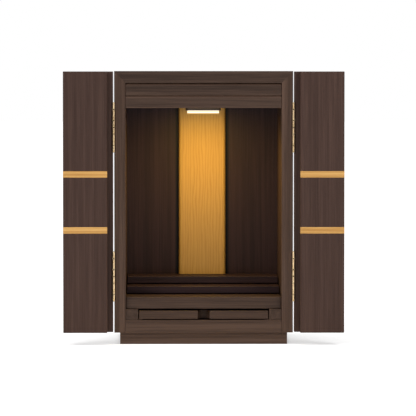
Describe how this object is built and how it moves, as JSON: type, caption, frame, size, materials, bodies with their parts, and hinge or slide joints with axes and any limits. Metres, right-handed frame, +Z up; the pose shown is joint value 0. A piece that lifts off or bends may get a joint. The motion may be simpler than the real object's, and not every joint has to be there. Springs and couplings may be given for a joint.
{
  "type": "household altar cabinet",
  "caption": "Tabletop household altar cabinet in dark wood with folding doors opened flat beside the case, pale inlays, stepped platforms, a small lamp and a pull-out tray",
  "frame": {"origin": "on the ground, at the centre of the plan with the doors folded open", "axes": "+X to the cabinet's right as seen from the front, +Y from the front to the back, +Z up"},
  "size_m": [0.4974, 0.266, 0.485],
  "materials": {
    "case_wood": "satin",
    "leaf_wood": "satin",
    "inside_wood": "satin",
    "pale_wood": "satin",
    "brass": "polished",
    "lamp_housing": "matte",
    "lamp_diffuser": "matte"
  },
  "bodies": {
    "cabinet": {"side_panel_left": "case_wood", "side_panel_right": "case_wood", "top_board": "case_wood", "bottom_board": "case_wood", "back_board": "inside_wood", "plinth_front": "case_wood", "plinth_back": "case_wood", "plinth_left": "case_wood", "plinth_right": "case_wood", "lintel_upper": "case_wood", "lintel_lower": "case_wood", "ceiling_board": "inside_wood", "lamp_housing": "lamp_housing", "lamp_diffuser": "lamp_diffuser", "floor_board": "case_wood", "step_lower": "inside_wood", "step_upper": "inside_wood", "centre_panel": "pale_wood", "tray": "case_wood", "tray_runner_left": "case_wood", "tray_runner_right": "case_wood", "left_hinge_lower_case_half": "brass", "left_hinge_upper_case_half": "brass", "right_hinge_lower_case_half": "brass", "right_hinge_upper_case_half": "brass"},
    "left_outer_leaf": {"left_outer_leaf": "leaf_wood", "left_outer_inlay_lower": "pale_wood", "left_outer_inlay_upper": "pale_wood", "left_hinge_lower_leaf_half": "brass", "left_hinge_upper_leaf_half": "brass", "left_fold_hinge_lower_outer_half": "brass", "left_fold_hinge_upper_outer_half": "brass"},
    "left_inner_leaf": {"left_inner_leaf": "leaf_wood", "left_inner_inlay_lower": "pale_wood", "left_inner_inlay_upper": "pale_wood", "left_fold_hinge_lower_inner_half": "brass", "left_fold_hinge_upper_inner_half": "brass"},
    "right_outer_leaf": {"right_outer_leaf": "leaf_wood", "right_outer_inlay_lower": "pale_wood", "right_outer_inlay_upper": "pale_wood", "right_hinge_lower_leaf_half": "brass", "right_hinge_upper_leaf_half": "brass", "right_fold_hinge_lower_outer_half": "brass", "right_fold_hinge_upper_outer_half": "brass"},
    "right_inner_leaf": {"right_inner_leaf": "leaf_wood", "right_inner_inlay_lower": "pale_wood", "right_inner_inlay_upper": "pale_wood", "right_fold_hinge_lower_inner_half": "brass", "right_fold_hinge_upper_inner_half": "brass"}
  },
  "joints": [
    {"name": "left_door_swing", "type": "hinge", "parent": "cabinet", "child": "left_outer_leaf", "pos_m": [-0.1595, -0.113, 0], "axis": [0, 0, 1], "range_deg": [0, 180]},
    {"name": "left_leaf_fold", "type": "hinge", "parent": "left_outer_leaf", "child": "left_inner_leaf", "pos_m": [-0.2446, -0.1135, 0], "axis": [0, 0, -1], "range_deg": [0, 180]},
    {"name": "right_door_swing", "type": "hinge", "parent": "cabinet", "child": "right_outer_leaf", "pos_m": [0.1595, -0.113, 0], "axis": [0, 0, -1], "range_deg": [0, 180]},
    {"name": "right_leaf_fold", "type": "hinge", "parent": "right_outer_leaf", "child": "right_inner_leaf", "pos_m": [0.2446, -0.1135, 0], "axis": [0, 0, 1], "range_deg": [0, 180]}
  ],
  "couplings": [
    {"joint": "left_leaf_fold", "follows": "left_door_swing", "ratio": 1},
    {"joint": "right_leaf_fold", "follows": "right_door_swing", "ratio": 1}
  ]
}
